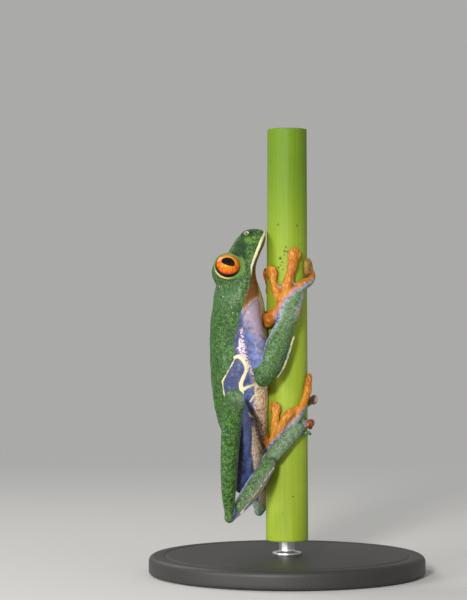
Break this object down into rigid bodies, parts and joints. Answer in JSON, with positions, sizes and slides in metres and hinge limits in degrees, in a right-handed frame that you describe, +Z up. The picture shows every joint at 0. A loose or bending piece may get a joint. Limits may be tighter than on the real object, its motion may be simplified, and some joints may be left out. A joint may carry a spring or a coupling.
{
  "type": "red-eyed tree frog",
  "caption": "Life-size still model of a green red-eyed tree frog clinging head up to the side of a cut green stem, held upright by a short rod on a flat round display base.",
  "frame": {"origin": "centre of the underside of the round display base, on the stem's axis", "axes": "+Z up along the stem, the frog's snout towards +Z; the frog is on the -X side of the stem with its back towards -X, and its right side faces -Y"},
  "size_m": [0.076, 0.076, 0.122],
  "materials": {
    "skin": "fine-grained moist skin, satin, with its markings in the colour",
    "eye": "wet gloss",
    "stem": "smooth living green stem, satin",
    "rod": "brushed",
    "base": "matt"
  },
  "bodies": {
    "root": {"head": "skin", "trunk": "skin", "upper_arm_right": "skin", "forearm_right": "skin", "hand_right": "skin", "thigh_right": "skin", "shank_right": "skin", "tarsus_right": "skin", "foot_right": "skin", "upper_arm_left": "skin", "forearm_left": "skin", "hand_left": "skin", "thigh_left": "skin", "shank_left": "skin", "tarsus_left": "skin", "foot_left": "skin", "eyelid_right": "skin", "eardrum_right": "skin", "eyelid_left": "skin", "eardrum_left": "skin", "eye_right": "eye", "eye_left": "eye", "perch_stem": "stem", "stand_rod": "rod", "stand_base": "base"}
  },
  "joints": []
}
